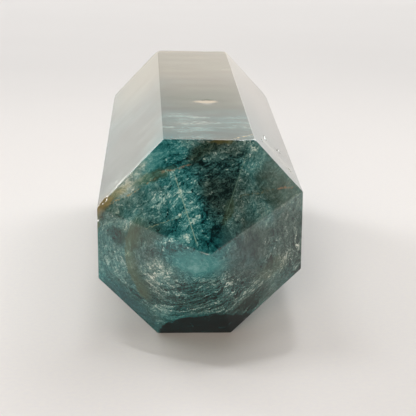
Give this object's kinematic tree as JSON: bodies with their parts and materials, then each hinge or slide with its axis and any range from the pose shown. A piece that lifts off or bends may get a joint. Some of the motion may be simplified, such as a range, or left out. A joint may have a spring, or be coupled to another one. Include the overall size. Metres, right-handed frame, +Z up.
{
  "type": "apatite tower",
  "caption": "Polished crystal tower cut from one piece of blue-green apatite, a tapering faceted shaft with a low pointed tip and a flat base, lying on one facet.",
  "frame": {"origin": "centre of the bounding box at the underside, on the surface the stone lies on", "axes": "+Z up, -Y toward the tip, +Y toward the flat base, +X to the right as seen from the tip"},
  "size_m": [0.0302, 0.1002, 0.0297],
  "materials": {
    "apatite": "polished blue-green apatite with tan and pale veins"
  },
  "bodies": {
    "root": {"apatite_tower": "apatite"}
  },
  "joints": []
}
